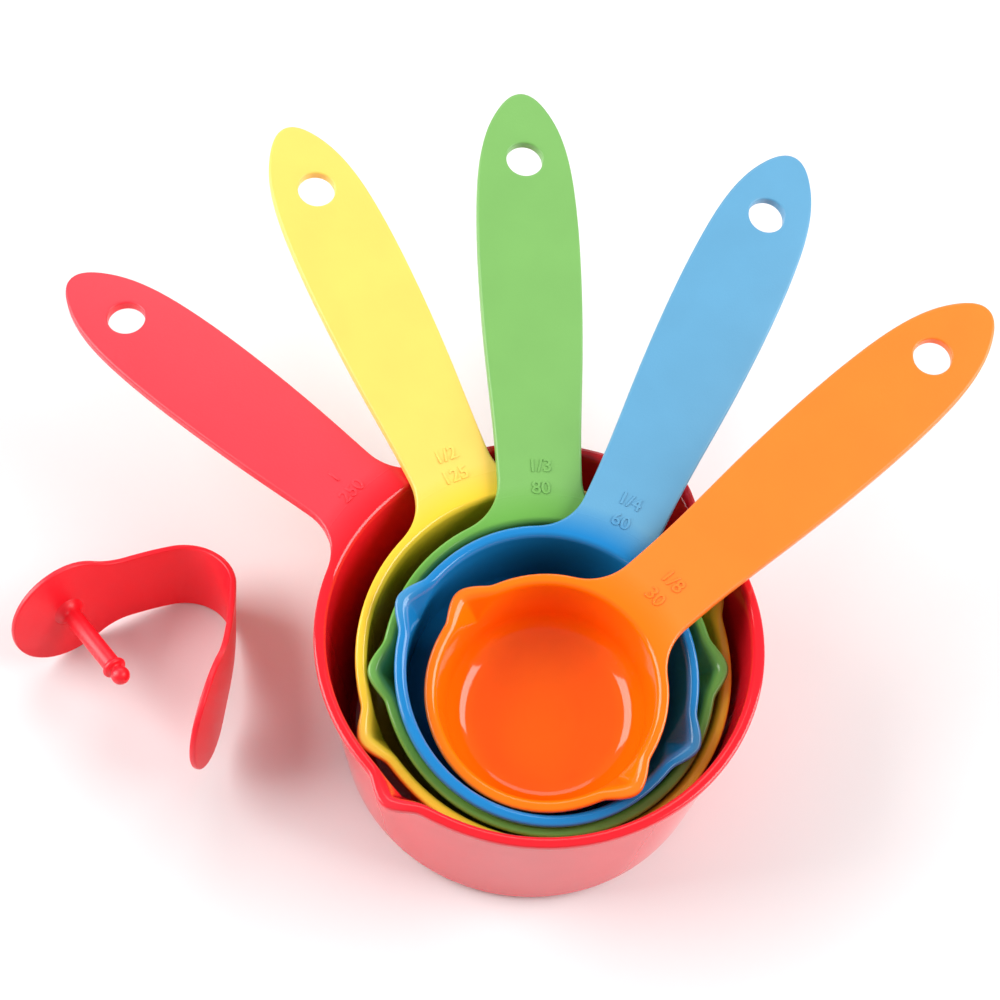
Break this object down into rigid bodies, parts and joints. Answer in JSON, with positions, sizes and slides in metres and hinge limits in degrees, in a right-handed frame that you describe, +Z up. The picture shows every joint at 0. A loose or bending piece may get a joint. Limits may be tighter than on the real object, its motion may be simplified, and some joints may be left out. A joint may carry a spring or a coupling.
{
  "type": "measuring cup set",
  "caption": "Nesting long-handled measuring cups with pouring lips and hang holes, fanned out inside the largest cup, beside the flexible clip whose pin gathers the handles.",
  "frame": {"origin": "centre of the largest cup's flat base, on the table", "axes": "+Z up; the handles fan out towards +Y, from the largest cup's at azimuth 146 degrees to the smallest cup's at 46 degrees; the clip lies at -X"},
  "size_m": [0.2061, 0.1725, 0.069],
  "materials": {
    "red_plastic": "satin injection-moulded plastic",
    "yellow_plastic": "satin injection-moulded plastic",
    "green_plastic": "satin injection-moulded plastic",
    "blue_plastic": "satin injection-moulded plastic",
    "orange_plastic": "satin injection-moulded plastic",
    "clip_plastic": "satin, flexible moulded plastic"
  },
  "bodies": {
    "red": {"red_cup_250ml": "red_plastic"},
    "yellow": {"yellow_cup_125ml": "yellow_plastic"},
    "green": {"green_cup_80ml": "green_plastic"},
    "blue": {"blue_cup_60ml": "blue_plastic"},
    "orange": {"orange_cup_30ml": "orange_plastic"},
    "clip_pin": {"clip_pin_leaf": "clip_plastic"},
    "clip_tail": {"clip_tail_leaf": "clip_plastic"}
  },
  "joints": [
    {"name": "yellow_lift", "type": "slide", "parent": "red", "child": "yellow", "axis": [0, 0, 1], "range_m": [0, 0.06]},
    {"name": "green_lift", "type": "slide", "parent": "yellow", "child": "green", "axis": [0.1104, -0.1495, 0.9826], "range_m": [0, 0.045]},
    {"name": "blue_lift", "type": "slide", "parent": "green", "child": "blue", "axis": [0.0944, -0.1756, 0.9799], "range_m": [0, 0.04]},
    {"name": "orange_lift", "type": "slide", "parent": "blue", "child": "orange", "axis": [0.1161, -0.1891, 0.9751], "range_m": [0, 0.035]},
    {"name": "clip_lift", "type": "slide", "parent": "red", "child": "clip_pin", "axis": [0, 0, 1], "range_m": [0, 0.06]},
    {"name": "clip_close", "type": "hinge", "parent": "clip_pin", "child": "clip_tail", "pos_m": [-0.06933, 0.01972, 0.01026], "axis": [-0.021, -0.2491, -0.9683], "range_deg": [0, 36]}
  ]
}
